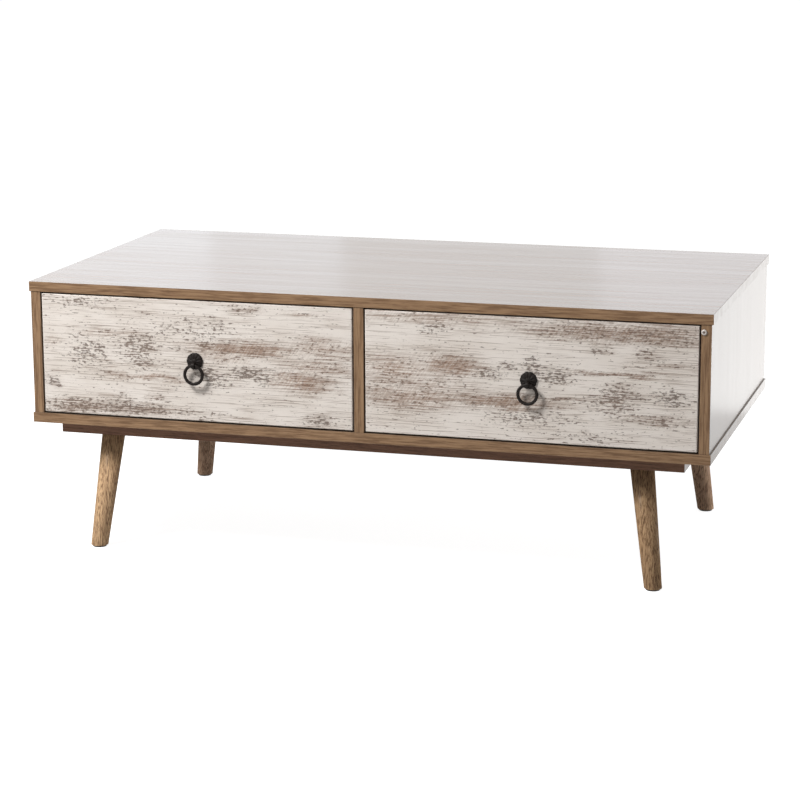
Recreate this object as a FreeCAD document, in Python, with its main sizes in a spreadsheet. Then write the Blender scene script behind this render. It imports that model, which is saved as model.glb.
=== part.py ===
import FreeCAD, Part

import math
import os

import Sketcher

# Coffee table with two drawers side by side, on four splayed and tapered legs.
# Millimetres, +X to the right, +Y to the back, +Z up.
# The origin lies on the floor, in the middle of the whole object's box.

SIZES = {
    # Case of laminated boards
    "table_width": 1100,
    "table_depth": 570,
    "table_height": 442,
    "case_height": 230,
    "top_thickness": 16,
    "bottom_thickness": 16,
    "side_thickness": 16,
    "divider_thickness": 16,
    "side_overhang": 2.5,
    "front_overhang": 1,
    "back_thickness": 3,
    "back_inset": 10,
    "groove_depth": 6,
    "panel_play": 0.2,
    # Loose tongues between the case boards
    "tongue_thickness": 5,
    "tongue_height": 20,
    "tongue_in_panel": 8,
    "tongue_inset": 50,
    "hole_play": 0.2,
    "hole_end_play": 0.5,
    # Rails and legs
    "rail_thickness": 18,
    "rail_width": 84,
    "rail_edge_inset": 18,
    "rail_end_inset": 42,
    "leg_end_inset": 73,
    "leg_splay_side": 24,
    "leg_splay_front": 18.5,
    "leg_top_diameter": 38,
    "leg_foot_diameter": 28,
    "leg_bolt_diameter": 8,
    "leg_bolt_in_leg": 32,
    "leg_bolt_in_rail": 13,
    "glide_diameter": 22,
    "glide_height": 2.5,
    # Drawer boxes
    "front_thickness": 16,
    "front_gap": 2.5,
    "front_arris": 1.5,
    "drawer_side_thickness": 12,
    "drawer_side_height": 140,
    "drawer_lift": 16,
    "drawer_back_thickness": 12,
    "drawer_back_inset": 15,
    "drawer_bottom_thickness": 3,
    "drawer_bottom_lift": 8,
    "housing_depth": 5,
    "drawer_travel": 370,
    # Roller runners
    "runner_length": 500,
    "runner_setback": 2,
    "runner_space": 12.5,
    "runner_sheet": 1.2,
    "track_lip": 2.5,
    "track_upper_lip": 5,
    "ledge_reach": 9.3,
    "foot_reach": 11,
    "roller_diameter": 18,
    "roller_width": 5,
    "roller_offset": 4,
    "roller_front_inset": 15,
    "stud_diameter": 5,
    "stud_end": 0.5,
    "running_play": 0.1,
    "track_clearance": 0.3,
    "stop_height": 3,
    # Ring pulls
    "rosette_diameter": 27,
    "rosette_rim": 2.2,
    "rosette_dome": 4.6,
    "petal_rise": 1.5,
    "boss_diameter": 9,
    "boss_height": 5.4,
    "ring_diameter": 34,
    "ring_wire": 4.6,
    "ring_stand_off": 8,
    "eye_drop": 6,
    "eye_play": 0.55,
    "eye_wall": 1.9,
    "eye_width": 5,
    "spigot_diameter": 8,
    "spigot_length": 8,
    "pull_screw_head": 8,
    "pull_screw_head_height": 2.4,
    "pull_screw_shank": 4,
    "pull_screw_in_spigot": 6,
    # Bumper stuck on the right stile
    "bumper_diameter": 9,
    "bumper_height": 2.2,
    "bumper_inset": 4.5,
    "bumper_drop": 11.5,
}

ALONG_X = "rotation(vector(0; 1; 0); 90)"
ALONG_Y = "rotation(vector(1; 0; 0); -90)"
TO_FRONT = "rotation(vector(1; 0; 0); 90)"
UPRIGHT = "rotation(vector(0; 0; 1); 0)"

# Flat sides of the rings, of the bar they are bent from, of the legs and of hidden round pieces
RING_SIDES = 28
BAR_SIDES = 8
LEG_SIDES = 32
HIDDEN_SIDES = 8

# Petals of a rosette, and how many times deeper than its rise at the rim each is rooted
PETALS = 10
PETAL_ROOTS = 3

doc = FreeCAD.newDocument("CoffeeTable")
sheet = doc.addObject("Spreadsheet::Sheet", "Sizes")
for row, (alias, value) in enumerate(SIZES.items(), start=1):
    sheet.set(f"A{row}", alias)
    sheet.set(f"B{row}", str(value))
    sheet.setAlias(f"B{row}", alias)
doc.recompute()


# Formulas in the sheet's names


class Formula:
    """A formula in the sheet's names, put together with ordinary arithmetic."""

    def __init__(self, text):
        self.text = str(text)

    def __str__(self):
        return self.text

    def __add__(self, other):
        return Formula(f"({self} + {other})")

    def __radd__(self, other):
        return Formula(f"({other} + {self})")

    def __sub__(self, other):
        return Formula(f"({self} - {other})")

    def __rsub__(self, other):
        return Formula(f"({other} - {self})")

    def __mul__(self, other):
        return Formula(f"({self} * ({other}))")

    def __rmul__(self, other):
        return Formula(f"(({other}) * {self})")

    def __truediv__(self, other):
        return Formula(f"({self} / {other})")

    def __neg__(self):
        return Formula(f"(-1 * {self})")


class SheetNames:
    """Gives each alias of the sheet as a formula."""

    def __getattr__(self, alias):
        return Formula(f"Sizes.{alias}")


size = SheetNames()


def root(formula):
    return Formula(f"sqrt({formula})")


def square(formula):
    return formula * formula


def number(formula):
    """The present value of a formula."""
    value = sheet.evalExpression(str(formula))
    return float(getattr(value, "Value", value))


# Building helpers

parts = {}


def node(label, piece):
    """Name a finished sub-part and keep it for writing."""
    piece.Label = label
    parts[label] = piece
    return piece


def bind(piece, **formulas):
    for name, formula in formulas.items():
        piece.setExpression(name, str(formula))


def place(piece, point, turn=UPRIGHT):
    x, y, z = point
    piece.setExpression("Placement", f"placement(vector({x}; {y}; {z}); {turn})")
    return piece


def sketch_on(body, plane):
    """An empty sketch on one of the body's own origin planes."""
    sketch = body.newObject("Sketcher::SketchObject", "Outline")
    support = next(f for f in body.Origin.OriginFeatures if f.Role == plane)
    sketch.AttachmentSupport = [(support, "")]
    sketch.MapMode = "FlatFace"
    return sketch


def pin(sketch, geometry, position, x, y):
    """Hold a point of the sketch at two formulas from the sketch's origin."""
    for kind, formula in (("DistanceX", x), ("DistanceY", y)):
        constraint = Sketcher.Constraint(kind, -1, 1, geometry, position, number(formula))
        index = sketch.addConstraint(constraint)
        sketch.setExpression(f"Constraints[{index}]", str(formula))


def join_ends(sketch, count):
    for index in range(count):
        following = (index + 1) % count
        sketch.addConstraint(Sketcher.Constraint("Coincident", index, 2, following, 1))


def polygon(body, plane, corners):
    """A closed outline of straight lines, each corner held by two formulas."""
    sketch = sketch_on(body, plane)
    points = [FreeCAD.Vector(number(x), number(y), 0) for x, y in corners]
    for index, start in enumerate(points):
        sketch.addGeometry(Part.LineSegment(start, points[(index + 1) % len(points)]))
    join_ends(sketch, len(points))
    for index, (x, y) in enumerate(corners):
        pin(sketch, index, 1, x, y)
    return sketch


def padded(name, plane, corners, length, backwards=False):
    """A body of one outline, padded to a length."""
    body = doc.addObject("PartDesign::Body", name)
    pad = body.newObject("PartDesign::Pad", "Pad")
    pad.Profile = polygon(body, plane, corners)
    pad.Reversed = backwards
    bind(pad, Length=length)
    return body


def revolved(name, corners):
    """A body turned about its own upright axis from half its section."""
    body = doc.addObject("PartDesign::Body", name)
    sketch = polygon(body, "XZ_Plane", corners)
    turning = body.newObject("PartDesign::Revolution", "Turning")
    turning.Profile = sketch
    turning.ReferenceAxis = (sketch, ["V_Axis"])
    turning.Angle = 360
    return body


def board(name, corner, extent):
    """A board sawn to size: its plan, padded to its height, from its lowest corner."""
    width, depth, height = extent
    plan = [(0, 0), (width, 0), (width, depth), (0, depth)]
    return place(padded(name, "XY_Plane", plan, height), corner)


def block(name, corner, extent):
    """A plain box, for cuts and for the tabs of sheet metal."""
    piece = doc.addObject("Part::Box", name)
    bind(piece, Length=extent[0], Width=extent[1], Height=extent[2])
    return place(piece, corner)


def rod(name, start, turn, diameter, length):
    piece = doc.addObject("Part::Cylinder", name)
    bind(piece, Radius=diameter / 2, Height=length)
    return place(piece, start, turn)


def prism(name, start, turn, diameter, length):
    """A hidden round piece or its hole, in flat sides."""
    piece = doc.addObject("Part::Prism", name)
    piece.Polygon = HIDDEN_SIDES
    bind(piece, Circumradius=diameter / 2, Height=length)
    return place(piece, start, turn)


def together(name, pieces):
    """Separate solids kept as one group."""
    group = doc.addObject("Part::Compound", name)
    group.Links = pieces
    return group


def fused(name, pieces):
    joined = doc.addObject("Part::MultiFuse", name)
    joined.Shapes = pieces
    return joined


def cut(name, base, tools):
    result = doc.addObject("Part::Cut", name)
    result.Base = base
    result.Tool = together(f"{name}_tools", tools)
    return result


def mirrored(name, piece, plane_x):
    """The other hand of a piece, mirrored across an upright plane at plane_x."""
    mirror = doc.addObject("Part::Mirroring", name)
    mirror.Source = piece
    mirror.Normal = FreeCAD.Vector(1, 0, 0)
    bind(mirror, **{"Base.x": plane_x})
    return mirror


# Places that several pieces share

eye_radius = size.ring_wire / 2 + size.eye_play
eye_outer = eye_radius + size.eye_wall
pull_reach = size.ring_stand_off + eye_outer - size.front_overhang
front_y = (pull_reach - size.table_depth) / 2
rear_y = front_y + size.table_depth
panel_front_y = front_y + size.front_overhang
panel_rear_y = rear_y - size.front_overhang
back_y = rear_y - size.back_inset - size.back_thickness
case_z = size.table_height - size.case_height
bay_z = case_z + size.bottom_thickness
bay_top_z = size.table_height - size.top_thickness
bay_height = bay_top_z - bay_z
half_width = size.table_width / 2
side_inner_x = half_width - size.side_overhang - size.side_thickness
bay_width = side_inner_x - size.divider_thickness / 2
bay_centre = size.divider_thickness / 2 + bay_width / 2
leg_height = case_z - size.rail_thickness


# Case

upright_x = {
    "left": -(side_inner_x + size.side_thickness / 2),
    "middle": Formula(0),
    "right": side_inner_x + size.side_thickness / 2,
}


def tongue_group(name, make, play, end_play):
    """A loose tongue in each end of each upright board, or the stopped grooves for them."""
    tongues = []
    low_z = bay_z - size.tongue_in_panel
    high_z = bay_top_z + size.tongue_in_panel - size.tongue_height
    start_y = panel_front_y + size.tongue_inset - end_play
    length = back_y - size.tongue_inset + end_play - start_y
    thickness = size.tongue_thickness + play
    for x in upright_x.values():
        for z in (low_z, high_z):
            corner = (x - thickness / 2, start_y, z)
            extent = (thickness, length, size.tongue_height + end_play)
            tongues.append(make(f"{name}_piece", corner, extent))
    return together(name, tongues)


def back_and_slot():
    """The thin back, and the slot that the four boards round it share for it."""
    low_x = -(side_inner_x + size.groove_depth)
    low_z = bay_z - size.groove_depth
    width = 2 * (side_inner_x + size.groove_depth)
    height = bay_height + 2 * size.groove_depth
    back = board(
        "back_panel",
        (low_x + size.panel_play / 2, back_y, low_z),
        (width - size.panel_play, size.back_thickness, height - size.panel_play),
    )
    slot = block("back_slot", (low_x, back_y, low_z), (width, size.back_thickness + size.panel_play, height))
    return back, slot


back_panel, back_slot = back_and_slot()
tongue_grooves = tongue_group("tongue_grooves", block, size.panel_play, size.hole_end_play)
node("back_panel", back_panel)
node("carcass_tongues", tongue_group("tongues", board, Formula(0), Formula(0)))

panel_plan = (size.table_width, size.table_depth)
top_blank = board("top_blank", (-half_width, front_y, bay_top_z), (*panel_plan, size.top_thickness))
bottom_blank = board("bottom_blank", (-half_width, front_y, case_z), (*panel_plan, size.bottom_thickness))
node("top_panel", cut("top_panel", top_blank, [back_slot, tongue_grooves]))
node("bottom_panel", cut("bottom_panel", bottom_blank, [back_slot, tongue_grooves]))


# Roller runners
# Across a runner, distances run from the drawer side's outer face to the bay's wall,
# and heights from the drawer side's lower edge, which is level with the track.

drawer_z = bay_z + size.drawer_lift
front_back_y = panel_front_y + size.front_thickness
box_width = bay_width - 2 * size.runner_space
track_y = front_back_y + size.runner_setback
track_end_y = track_y + size.runner_length
ledge_z = size.roller_diameter + 3 * size.track_clearance
track_top_z = ledge_z + size.runner_sheet + 3 * size.track_clearance + size.runner_sheet
front_roller_y = track_y + size.roller_front_inset
front_roller_z = drawer_z + ledge_z - size.track_clearance - size.roller_diameter / 2
rear_roller_y = track_end_y - size.runner_sheet - size.track_clearance - size.roller_diameter / 2
rear_roller_z = drawer_z + size.track_clearance + size.roller_diameter / 2


def track(name, side_x):
    """The bay's right-hand runner: a channel with a roller stud, an end stop and an out-stop."""
    wall = size.runner_space
    sheet_metal = size.runner_sheet
    section = [
        (size.track_lip, -sheet_metal),
        (wall, -sheet_metal),
        (wall, track_top_z),
        (size.track_upper_lip, track_top_z),
        (size.track_upper_lip, track_top_z - sheet_metal),
        (wall - sheet_metal, track_top_z - sheet_metal),
        (wall - sheet_metal, 0),
        (size.track_lip, 0),
    ]
    channel = padded(f"{name}_channel", "XZ_Plane", section, size.runner_length, True)
    place(channel, (side_x, track_y, drawer_z))
    stud_start = size.roller_offset - size.stud_end
    stud = rod(
        f"{name}_stud",
        (side_x + stud_start, front_roller_y, front_roller_z),
        ALONG_X,
        size.stud_diameter,
        wall - stud_start,
    )
    end_stop = block(
        f"{name}_end_stop",
        (side_x + size.track_lip, track_end_y - sheet_metal, drawer_z - sheet_metal),
        (wall - size.track_lip, sheet_metal, track_top_z + sheet_metal),
    )
    roller_radius = size.roller_diameter / 2
    drop = roller_radius + size.track_clearance - size.stop_height
    stop_gap = root(square(roller_radius) - square(drop)) + size.track_clearance
    out_stop = block(
        f"{name}_out_stop",
        (
            side_x + size.track_lip,
            rear_roller_y - size.drawer_travel - stop_gap - sheet_metal,
            drawer_z - sheet_metal,
        ),
        (wall - size.track_lip, sheet_metal, size.stop_height + sheet_metal),
    )
    return fused(name, [channel, stud, end_stop, out_stop])


def slide(name, side_x):
    """The drawer's right-hand runner: a foot under the side, a web, a ledge and a roller stud."""
    sheet_metal = size.runner_sheet
    section = [
        (-size.foot_reach, -sheet_metal),
        (sheet_metal, -sheet_metal),
        (sheet_metal, ledge_z),
        (size.ledge_reach, ledge_z),
        (size.ledge_reach, ledge_z + sheet_metal),
        (0, ledge_z + sheet_metal),
        (0, 0),
        (-size.foot_reach, 0),
    ]
    profile = padded(f"{name}_profile", "XZ_Plane", section, size.runner_length, True)
    place(profile, (side_x, front_back_y, drawer_z))
    stud = rod(
        f"{name}_stud",
        (side_x, rear_roller_y, rear_roller_z),
        ALONG_X,
        size.stud_diameter,
        size.roller_offset + size.roller_width + size.stud_end,
    )
    return fused(name, [profile, stud])


def roller(name, start_x, y, z):
    """A nylon wheel with a bore that runs on its stud."""
    bore = size.stud_diameter / 2 + size.running_play
    rim = size.roller_diameter / 2
    section = [(bore, 0), (rim, 0), (rim, size.roller_width), (bore, size.roller_width)]
    return place(revolved(name, section), (start_x, y, z), ALONG_X)


bays = {"left": -bay_centre, "right": bay_centre}
for bay, centre in bays.items():
    right_track = node(f"{bay}_bay_right_runner", track(f"{bay}_right_track", centre + box_width / 2))
    node(f"{bay}_bay_left_runner", mirrored(f"{bay}_left_track", right_track, centre))
    near = box_width / 2 + size.roller_offset
    for hand, start_x in {"right": centre + near, "left": centre - near - size.roller_width}.items():
        wheel = roller(f"{bay}_{hand}_track_wheel", start_x, front_roller_y, front_roller_z)
        node(f"{bay}_bay_{hand}_roller", wheel)
        wheel = roller(f"{bay}_{hand}_drawer_wheel", start_x, rear_roller_y, rear_roller_z)
        node(f"{bay}_drawer_{hand}_roller", wheel)


# Upright boards, grooved for the back and the tongues

panel_depth = panel_rear_y - panel_front_y
for hand, low_x in {"left": -(side_inner_x + size.side_thickness), "right": side_inner_x}.items():
    blank = board(
        f"{hand}_side_blank",
        (low_x, panel_front_y, bay_z),
        (size.side_thickness, panel_depth, bay_height),
    )
    label = f"{hand}_side_panel"
    node(label, cut(label, blank, [back_slot, tongue_grooves]))
divider_blank = board(
    "divider_blank",
    (-size.divider_thickness / 2, panel_front_y, bay_z),
    (size.divider_thickness, back_y - panel_front_y, bay_height),
)
node("centre_divider", cut("centre_divider", divider_blank, [tongue_grooves]))


# Rails and legs


def leg(name, foot, lean, bolt_hole):
    """A slender taper with level ends: square tapers turned about the leg, and what they share."""
    tapers = []
    foot_radius = size.leg_foot_diameter / 2
    top_radius = size.leg_top_diameter / 2
    turns = LEG_SIDES // 4
    for index in range(turns):
        degrees = 90 * index / turns
        cosine = math.cos(math.radians(degrees))
        sine = math.sin(math.radians(degrees))
        top_x = lean[0] * cosine + lean[1] * sine
        top_z = lean[0] * sine - lean[1] * cosine
        taper = doc.addObject("Part::Wedge", f"{name}_taper")
        bind(
            taper,
            Xmin=-foot_radius,
            Xmax=foot_radius,
            Zmin=-foot_radius,
            Zmax=foot_radius,
            Ymin=0,
            Ymax=leg_height - size.glide_height,
            X2min=top_x - top_radius,
            X2max=top_x + top_radius,
            Z2min=top_z - top_radius,
            Z2max=top_z + top_radius,
        )
        tapers.append(place(taper, foot, f"rotation({degrees}; 0; 90)"))
    many_sided = doc.addObject("Part::MultiCommon", f"{name}_taper")
    many_sided.Shapes = tapers
    return cut(name, many_sided, [bolt_hole])


rail_length = size.table_width - 2 * size.rail_end_inset
rail_fronts = {
    "front": front_y + size.rail_edge_inset,
    "rear": rear_y - size.rail_edge_inset - size.rail_width,
}
hanger_bolts = []
glides = []
for end_name, rail_y in rail_fronts.items():
    end = -1 if end_name == "front" else 1
    leg_y = rail_y + size.rail_width / 2
    bolt_holes = []
    for side_name, side in {"left": -1, "right": 1}.items():
        label = f"{end_name}_{side_name}_leg"
        leg_x = side * (half_width - size.rail_end_inset - size.leg_end_inset)
        bolt_z = leg_height - size.leg_bolt_in_leg
        bolt_length = size.leg_bolt_in_leg + size.leg_bolt_in_rail
        bolt_point = (leg_x, leg_y, bolt_z)
        bolt = prism(f"{label}_bolt", bolt_point, UPRIGHT, size.leg_bolt_diameter, bolt_length)
        hanger_bolts.append(bolt)
        bolt_hole = prism(
            f"{label}_bolt_hole",
            (leg_x, leg_y, bolt_z - size.hole_end_play),
            UPRIGHT,
            size.leg_bolt_diameter + size.hole_play,
            bolt_length + 2 * size.hole_end_play,
        )
        bolt_holes.append(bolt_hole)
        foot = (leg_x + side * size.leg_splay_side, leg_y + end * size.leg_splay_front)
        lean = (leg_x - foot[0], leg_y - foot[1])
        node(label, leg(label, (*foot, size.glide_height), lean, bolt_hole))
        glides.append(rod(f"{label}_glide", (*foot, 0), UPRIGHT, size.glide_diameter, size.glide_height))
    rail_blank = board(
        f"{end_name}_rail_blank",
        (-rail_length / 2, rail_y, leg_height),
        (rail_length, size.rail_width, size.rail_thickness),
    )
    label = f"{end_name}_leg_rail"
    node(label, cut(label, rail_blank, bolt_holes))
node("leg_hanger_bolts", together("hanger_bolts", hanger_bolts))
node("leg_glides", together("glides", glides))


# Drawers

front_width = bay_width - 2 * size.front_gap
front_height = bay_height - 2 * size.front_gap
drawer_rear_y = front_back_y + size.runner_length
drawer_top_z = drawer_z + size.drawer_side_height
drawer_bottom_z = drawer_z + size.drawer_bottom_lift
pull_z = bay_z + bay_height / 2


def drawer_front(name, centre, tools):
    """The painted front: a board with its four front edges eased, then grooved and drilled."""
    blank = board(
        f"{name}_blank",
        (centre - front_width / 2, panel_front_y, bay_z + size.front_gap),
        (front_width, size.front_thickness, front_height),
    )
    doc.recompute()
    pad = blank.Tip
    front_edges = [
        f"Edge{index}"
        for index, edge in enumerate(pad.Shape.Edges, start=1)
        if edge.BoundBox.YMax < number(size.front_thickness) / 2
    ]
    easing = blank.newObject("PartDesign::Fillet", "Easing")
    easing.Base = (pad, front_edges)
    bind(easing, Radius=size.front_arris)
    return cut(name, blank, tools)


def drawer_box(drawer, centre):
    """Sides housed in the front, a back housed in the sides, and a thin bottom in grooves."""
    thickness = size.drawer_side_thickness
    inner_x = box_width / 2 - thickness
    start_y = front_back_y - size.housing_depth
    back_start_y = drawer_rear_y - size.drawer_back_inset - size.drawer_back_thickness
    half_play = size.panel_play / 2
    bottom_width = 2 * (inner_x + size.housing_depth)
    bottom_depth = back_start_y + size.drawer_back_thickness - start_y
    bottom = board(
        f"{drawer}_bottom",
        (centre - bottom_width / 2 + half_play, start_y + half_play, drawer_bottom_z),
        (bottom_width - size.panel_play, bottom_depth - half_play, size.drawer_bottom_thickness),
    )
    groove = block(
        f"{drawer}_bottom_groove",
        (centre - bottom_width / 2, start_y, drawer_bottom_z),
        (bottom_width, drawer_rear_y - start_y, size.drawer_bottom_thickness + size.panel_play),
    )
    back_z = drawer_bottom_z + size.drawer_bottom_thickness + size.panel_play
    back_reach = inner_x + size.housing_depth
    back = board(
        f"{drawer}_back",
        (centre - back_reach + half_play, back_start_y, back_z),
        (2 * back_reach - size.panel_play, size.drawer_back_thickness, drawer_top_z - back_z),
    )
    back_housing = block(
        f"{drawer}_back_housing",
        (centre - back_reach, back_start_y, back_z),
        (2 * back_reach, size.drawer_back_thickness + size.panel_play, drawer_top_z - back_z),
    )
    side_housings = []
    side_depth = drawer_rear_y - start_y
    for hand, low_x in {"left": centre - box_width / 2, "right": centre + inner_x}.items():
        blank = board(
            f"{drawer}_{hand}_side_blank",
            (low_x, start_y + half_play, drawer_z),
            (thickness, side_depth - half_play, size.drawer_side_height),
        )
        label = f"{drawer}_{hand}_side"
        node(label, cut(label, blank, [groove, back_housing]))
        side_housings.append(
            block(
                f"{label}_housing",
                (low_x - half_play, start_y, drawer_z - half_play),
                (thickness + size.panel_play, side_depth, size.drawer_side_height + size.panel_play),
            )
        )
    node(f"{drawer}_bottom", bottom)
    node(f"{drawer}_back", back)
    return [groove, *side_housings]


def petal(name, point, index):
    """A roof-shaped petal that falls from the middle of a rosette to its rim."""
    radius = size.rosette_diameter / 2
    half_width = PETAL_ROOTS * math.pi * radius / PETALS
    depth = PETAL_ROOTS * size.petal_rise
    fall = (size.rosette_dome - size.rosette_rim - size.petal_rise) / radius
    roof = doc.addObject("Part::Wedge", name)
    bind(
        roof,
        Xmin=-half_width,
        Xmax=half_width,
        X2min=0,
        X2max=0,
        Ymin=size.rosette_dome - depth,
        Ymax=size.rosette_dome,
        Zmin=-size.rosette_diameter,
        Zmax=0,
        Z2min=-size.rosette_diameter,
        Z2max=0,
    )
    lie = f"rotation({360 * index / PETALS}; 0; 90 deg - atan({fall}))"
    return place(roof, point, f"{TO_FRONT} * {lie}")


def rosette(drawer, centre, face_y):
    """A disc that carries the petals, with a round boss in the middle."""
    point = (centre, face_y, pull_z)
    disc = rod(f"{drawer}_disc", point, TO_FRONT, size.rosette_diameter, size.rosette_rim)
    boss = rod(f"{drawer}_boss", point, TO_FRONT, size.boss_diameter, size.boss_height)
    petals = fused(f"{drawer}_petals", [petal(f"{drawer}_petal", point, index) for index in range(PETALS)])
    petal_limit = rod(f"{drawer}_petal_limit", point, TO_FRONT, size.rosette_diameter, size.rosette_dome)
    trimmed = doc.addObject("Part::MultiCommon", f"{drawer}_trimmed_petals")
    trimmed.Shapes = [petals, petal_limit]
    return [disc, boss, trimmed]


def ring(drawer, x, y, z):
    """A bar of flat sides bent round and closed, hanging upright."""
    ring_radius = (size.ring_diameter - size.ring_wire) / 2
    line = doc.addObject("Part::RegularPolygon", f"{drawer}_ring_line")
    line.Polygon = RING_SIDES
    bind(line, Circumradius=ring_radius)
    place(line, (x, y, z - ring_radius), TO_FRONT)
    bar = doc.addObject("Part::RegularPolygon", f"{drawer}_ring_bar")
    bar.Polygon = BAR_SIDES
    bind(bar, Circumradius=size.ring_wire / 2)
    place(bar, (x + ring_radius, y, z - ring_radius))
    closed = doc.addObject("Part::Sweep", f"{drawer}_ring")
    closed.Sections = [bar]
    closed.Spine = (line, [])
    closed.Solid = True
    closed.Transition = "Right corner"
    return closed


def ring_pull(drawer, centre):
    """Rosette with an eye at its lower edge, the ring that hangs in it, and the screw from inside."""
    face_y = panel_front_y
    eye_y = face_y - size.ring_stand_off
    eye_z = pull_z - size.eye_drop
    low_x = centre - size.eye_width / 2
    eye_nose = rod(f"{drawer}_eye_nose", (low_x, eye_y, eye_z), ALONG_X, 2 * eye_outer, size.eye_width)
    eye_root = block(
        f"{drawer}_eye_root",
        (low_x, eye_y, eye_z - eye_outer),
        (size.eye_width, size.ring_stand_off, 2 * eye_outer),
    )
    spigot = prism(
        f"{drawer}_spigot", (centre, face_y, pull_z), ALONG_Y, size.spigot_diameter, size.spigot_length
    )
    pieces = [*rosette(drawer, centre, face_y), eye_nose, eye_root, spigot]
    whole = fused(f"{drawer}_rosette_whole", pieces)
    eye = rod(f"{drawer}_eye", (low_x, eye_y, eye_z), ALONG_X, 2 * eye_radius, size.eye_width)
    bore_depth = size.pull_screw_in_spigot + size.hole_end_play
    screw_bore = prism(
        f"{drawer}_screw_bore",
        (centre, face_y + size.spigot_length - bore_depth, pull_z),
        ALONG_Y,
        size.pull_screw_shank + size.hole_play,
        bore_depth + size.front_thickness,
    )
    spigot_hole = prism(
        f"{drawer}_spigot_hole",
        (centre, face_y, pull_z),
        ALONG_Y,
        size.spigot_diameter + size.hole_play,
        size.spigot_length + size.hole_end_play,
    )
    node(f"{drawer}_pull_rosette", cut(f"{drawer}_rosette", whole, [eye, screw_bore]))
    node(f"{drawer}_pull_ring", ring(drawer, centre, eye_y, eye_z))
    shank_length = size.front_thickness - size.spigot_length + size.pull_screw_in_spigot
    shank = prism(
        f"{drawer}_screw_shank",
        (centre, front_back_y - shank_length, pull_z),
        ALONG_Y,
        size.pull_screw_shank,
        shank_length,
    )
    head = rod(
        f"{drawer}_screw_head",
        (centre, front_back_y, pull_z),
        ALONG_Y,
        size.pull_screw_head,
        size.pull_screw_head_height,
    )
    node(f"{drawer}_pull_screw", fused(f"{drawer}_pull_screw", [shank, head]))
    return [spigot_hole, screw_bore]


for bay, centre in bays.items():
    drawer = f"{bay}_drawer"
    side_x = centre + box_width / 2
    right_slide = node(f"{drawer}_right_runner", slide(f"{bay}_right_slide", side_x))
    node(f"{drawer}_left_runner", mirrored(f"{bay}_left_slide", right_slide, centre))
    front_cuts = drawer_box(drawer, centre) + ring_pull(drawer, centre)
    node(f"{drawer}_front", drawer_front(f"{drawer}_front", centre, front_cuts))


# Bumper stuck on the front edge of the right side

bumper_point = (side_inner_x + size.bumper_inset, panel_front_y, bay_top_z - size.bumper_drop)
bumper = rod("bumper", bumper_point, TO_FRONT, size.bumper_diameter, size.bumper_height)
node("edge_bumper", bumper)


# Checks, then one file for each sub-part

doc.recompute()
failed = [thing.Name for thing in doc.Objects if {"Invalid", "Error"} & set(thing.State)]
if failed:
    raise RuntimeError(f"failed objects: {failed}")
for label, piece in parts.items():
    shape = piece.Shape
    if shape.isNull() or not shape.isValid() or not shape.Solids:
        raise RuntimeError(f"{label} has no valid solid")
    if piece.Label != label:
        raise RuntimeError(f"{label} is labelled {piece.Label}")
os.makedirs("parts", exist_ok=True)
for label, piece in parts.items():
    piece.Shape.exportStep(f"parts/{label}.step")
print(f"{len(parts)} sub-parts, {sum(len(p.Shape.Solids) for p in parts.values())} solids")
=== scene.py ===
# %% [markdown]
# # A coffee table with two drawers
# The table is a flat case of oak-look boards with two drawers side by side. The drawer fronts wear
# cream paint that is rubbed back to the wood, and each carries a dark ring pull. The solids come from
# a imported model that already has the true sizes, so this lesson only dresses them: we give each
# board its finish, round off what was drawn in flat sides, add small screws, and set up the studio.

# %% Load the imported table
import math

import bmesh
import bpy
from mathutils import Matrix, Vector


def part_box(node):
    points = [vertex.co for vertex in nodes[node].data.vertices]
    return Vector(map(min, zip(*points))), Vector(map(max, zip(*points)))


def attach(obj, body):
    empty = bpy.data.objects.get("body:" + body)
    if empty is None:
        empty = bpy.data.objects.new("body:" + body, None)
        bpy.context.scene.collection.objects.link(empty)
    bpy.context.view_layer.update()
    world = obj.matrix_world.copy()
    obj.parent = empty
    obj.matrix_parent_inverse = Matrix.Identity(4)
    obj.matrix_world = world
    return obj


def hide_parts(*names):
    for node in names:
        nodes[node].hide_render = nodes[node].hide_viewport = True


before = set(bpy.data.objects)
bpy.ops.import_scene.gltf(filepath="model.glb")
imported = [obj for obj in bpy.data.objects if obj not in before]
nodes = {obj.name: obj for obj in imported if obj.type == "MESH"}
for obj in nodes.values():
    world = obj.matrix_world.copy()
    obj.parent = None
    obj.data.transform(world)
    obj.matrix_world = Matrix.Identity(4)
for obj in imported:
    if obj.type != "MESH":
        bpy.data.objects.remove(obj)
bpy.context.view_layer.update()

# %% [markdown]
# ## The camera
# The photograph was taken from the right of the middle and from a little above. A long lens keeps the
# lines nearly parallel. We write the camera as a place, two viewing angles and a slight roll, and
# build its rotation from three directions: right, up and back.

# %% Place the camera
CAMERA_PLACE = Vector((1.12756, -3.89619, 1.12867))
CAMERA_AZIMUTH = 16.3456
CAMERA_ELEVATION = 12.6239
CAMERA_ROLL = -0.2188
CAMERA_LENS_MM = 112.759
SENSOR_MM = 36.0


def camera_turn(azimuth, elevation, roll):
    """Rotation of a camera that looks at the table from these angles, in degrees."""
    side, rise, tilt = (math.radians(angle) for angle in (azimuth, elevation, roll))
    back = Vector((math.sin(side) * math.cos(rise), -math.cos(side) * math.cos(rise), math.sin(rise)))
    right = Vector((0, 0, 1)).cross(back).normalized()
    up = back.cross(right)
    rolled_right = math.cos(tilt) * right + math.sin(tilt) * up
    rolled_up = math.cos(tilt) * up - math.sin(tilt) * right
    return Matrix((rolled_right, rolled_up, back)).transposed().to_4x4()


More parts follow.
